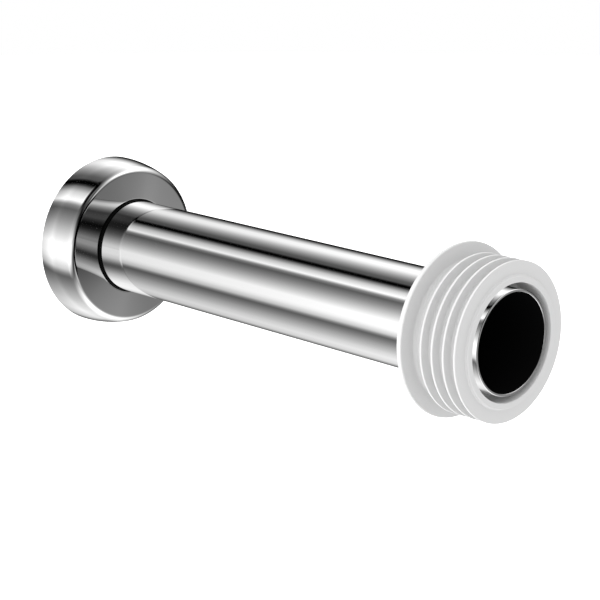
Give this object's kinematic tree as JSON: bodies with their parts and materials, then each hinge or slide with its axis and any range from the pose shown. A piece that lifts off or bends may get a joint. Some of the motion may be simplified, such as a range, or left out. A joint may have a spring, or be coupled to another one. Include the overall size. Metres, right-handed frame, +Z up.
{
  "type": "toilet flush connection tube",
  "caption": "Straight chromed tube that joins a toilet pan to the flush outlet in the wall, with a sliding round wall flange and a lipped rubber pan connector.",
  "frame": {"origin": "on the tube's axis, in the plane of the finished wall, which is also the plane of the wall flange's rim at rest", "axes": "+X along the tube from the wall to the toilet pan, +Z up with the tube level"},
  "size_m": [0.2403, 0.0706, 0.0706],
  "materials": {
    "polished_chrome": "mirror-polished chrome plate",
    "black_rubber": "matte black rubber",
    "white_rubber": "smooth satin white rubber"
  },
  "bodies": {
    "tube": {"flush_tube": "polished_chrome", "pan_connector": "white_rubber"},
    "flange": {"wall_flange": "polished_chrome", "flange_grip_ring": "black_rubber"}
  },
  "joints": [
    {"name": "flange_slide", "type": "slide", "parent": "tube", "child": "flange", "axis": [1, 0, 0], "range_m": [0, 0.175]}
  ]
}
